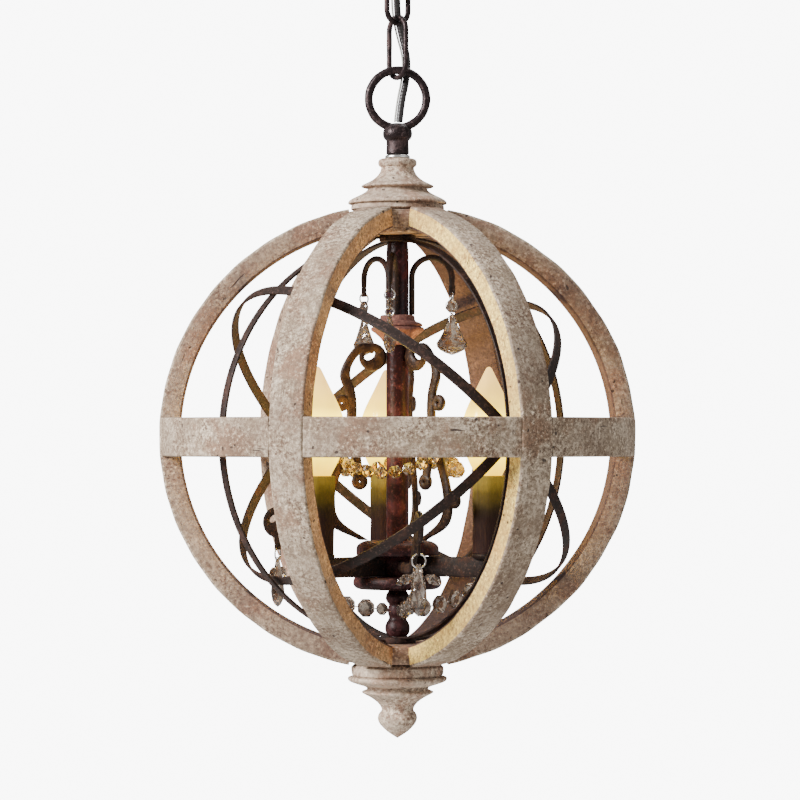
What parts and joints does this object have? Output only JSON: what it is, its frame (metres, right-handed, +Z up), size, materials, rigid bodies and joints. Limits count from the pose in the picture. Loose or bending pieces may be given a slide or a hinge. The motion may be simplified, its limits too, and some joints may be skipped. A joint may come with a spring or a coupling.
{
  "type": "orb chandelier",
  "caption": "Openwork wooden globe on a chain, with an iron strap cage, scrolls, hanging crystals and candle lamps round a column.",
  "frame": {"origin": "on the ceiling at the centre of the mounting strap's two screw holes", "axes": "+Z up out of the ceiling face, X along the mounting strap, the picture's viewer at -Y"},
  "size_m": [0.3102, 0.3094, 0.5985],
  "materials": {
    "iron": "satin",
    "rust_iron": "matte",
    "old_wood": "matte",
    "pink_wood": "matte",
    "nickel": "satin",
    "canopy_paint": "satin",
    "silver_wire": "polished",
    "crystal": "polished",
    "bulb_glass": "frosted",
    "bulb_cap": "satin",
    "sleeve": "matte",
    "holder": "matte",
    "lead": "satin",
    "earth": "satin"
  },
  "bodies": {
    "ceiling_fitting": {"crossbar": "canopy_paint", "canopy": "canopy_paint", "canopy_loop": "iron", "power_lead": "lead", "earth_wire": "earth"},
    "link_3": {"chain_link_3": "iron"},
    "link_2": {"chain_link_2": "iron"},
    "link_1": {"chain_link_1": "iron"},
    "globe": {"hang_ring": "iron", "lamp_pipe": "nickel", "top_washer": "nickel", "top_finial": "old_wood", "top_block": "old_wood", "rib_1": "old_wood", "rib_2": "old_wood", "rib_3": "old_wood", "rib_4": "old_wood", "rib_5": "old_wood", "rib_6": "old_wood", "equator_band": "old_wood", "bottom_block": "old_wood", "bottom_finial": "old_wood", "cage_discs": "iron", "cage_hoop_1": "iron", "cage_hoop_2": "iron", "cage_hoop_3": "iron", "cage_hoop_4": "iron", "column": "rust_iron", "column_bell": "pink_wood", "arm_hub": "iron", "hub_cover": "iron", "hub_balls": "rust_iron", "candle_arms": "iron", "candle_sleeves": "sleeve", "lampholders": "holder", "pendant_arms": "iron", "scroll_1": "rust_iron", "scroll_2": "rust_iron", "scroll_3": "rust_iron", "crystal_hooks": "iron", "garland_crystals": "crystal", "garland_pins": "silver_wire"},
    "bulb_1": {"bulb_base_1": "bulb_cap", "bulb_glass_1": "bulb_glass"},
    "upper_pendant_1": {"upper_ring_1": "silver_wire", "upper_crystal_1": "crystal"},
    "lower_pendant_1": {"lower_ring_1": "silver_wire", "lower_crystal_1": "crystal"},
    "bulb_2": {"bulb_base_2": "bulb_cap", "bulb_glass_2": "bulb_glass"},
    "upper_pendant_2": {"upper_ring_2": "silver_wire", "upper_crystal_2": "crystal"},
    "lower_pendant_2": {"lower_ring_2": "silver_wire", "lower_crystal_2": "crystal"},
    "bulb_3": {"bulb_base_3": "bulb_cap", "bulb_glass_3": "bulb_glass"},
    "upper_pendant_3": {"upper_ring_3": "silver_wire", "upper_crystal_3": "crystal"},
    "lower_pendant_3": {"lower_ring_3": "silver_wire", "lower_crystal_3": "crystal"}
  },
  "joints": [
    {"name": "loop_swing", "type": "hinge", "parent": "ceiling_fitting", "child": "link_3", "pos_m": [0, 0, -0.062], "axis": [0.788, 0.6157, 0], "range_deg": [-12, 12], "deforming": ["power_lead", "earth_wire"]},
    {"name": "upper_link_swing", "type": "hinge", "parent": "link_3", "child": "link_2", "pos_m": [0, 0, -0.09675], "axis": [-0.6157, 0.788, 0], "range_deg": [-12, 12]},
    {"name": "lower_link_swing", "type": "hinge", "parent": "link_2", "child": "link_1", "pos_m": [0, 0, -0.1322], "axis": [0.788, 0.6157, 0], "range_deg": [-12, 12]},
    {"name": "ring_swing", "type": "hinge", "parent": "link_1", "child": "globe", "pos_m": [0, 0, -0.16765], "axis": [0.6157, -0.788, 0], "range_deg": [-12, 12]},
    {"name": "bulb_turn_1", "type": "hinge", "parent": "globe", "child": "bulb_1", "pos_m": [-0.0078, 0.06352, -0.43715], "axis": [0, 0, 1], "continuous": true},
    {"name": "bulb_turn_2", "type": "hinge", "parent": "globe", "child": "bulb_2", "pos_m": [-0.05111, -0.03852, -0.43715], "axis": [0, 0, 1], "continuous": true},
    {"name": "bulb_turn_3", "type": "hinge", "parent": "globe", "child": "bulb_3", "pos_m": [0.05891, -0.02501, -0.43715], "axis": [0, 0, 1], "continuous": true},
    {"name": "upper_swing_1", "type": "hinge", "parent": "globe", "child": "upper_pendant_1", "pos_m": [0.03559, 0.00545, -0.30735], "axis": [-0.1513, 0.9885, 0], "range_deg": [-20, 20]},
    {"name": "upper_swing_2", "type": "hinge", "parent": "globe", "child": "upper_pendant_2", "pos_m": [-0.02216, 0.02837, -0.30735], "axis": [-0.788, -0.6157, 0], "range_deg": [-20, 20]},
    {"name": "upper_swing_3", "type": "hinge", "parent": "globe", "child": "upper_pendant_3", "pos_m": [-0.00501, -0.03565, -0.30735], "axis": [0.9903, -0.1392, 0], "range_deg": [-20, 20]},
    {"name": "lower_swing_1", "type": "hinge", "parent": "globe", "child": "lower_pendant_1", "pos_m": [0.06606, 0.05349, -0.47535], "axis": [-0.6293, 0.7771, 0], "range_deg": [-2, 15]},
    {"name": "lower_swing_2", "type": "hinge", "parent": "globe", "child": "lower_pendant_2", "pos_m": [-0.07935, 0.03046, -0.47535], "axis": [-0.3584, -0.9336, 0], "range_deg": [-15, 15]},
    {"name": "lower_swing_3", "type": "hinge", "parent": "globe", "child": "lower_pendant_3", "pos_m": [0.0133, -0.08395, -0.47535], "axis": [0.9877, 0.1564, 0], "range_deg": [-15, 15]}
  ]
}
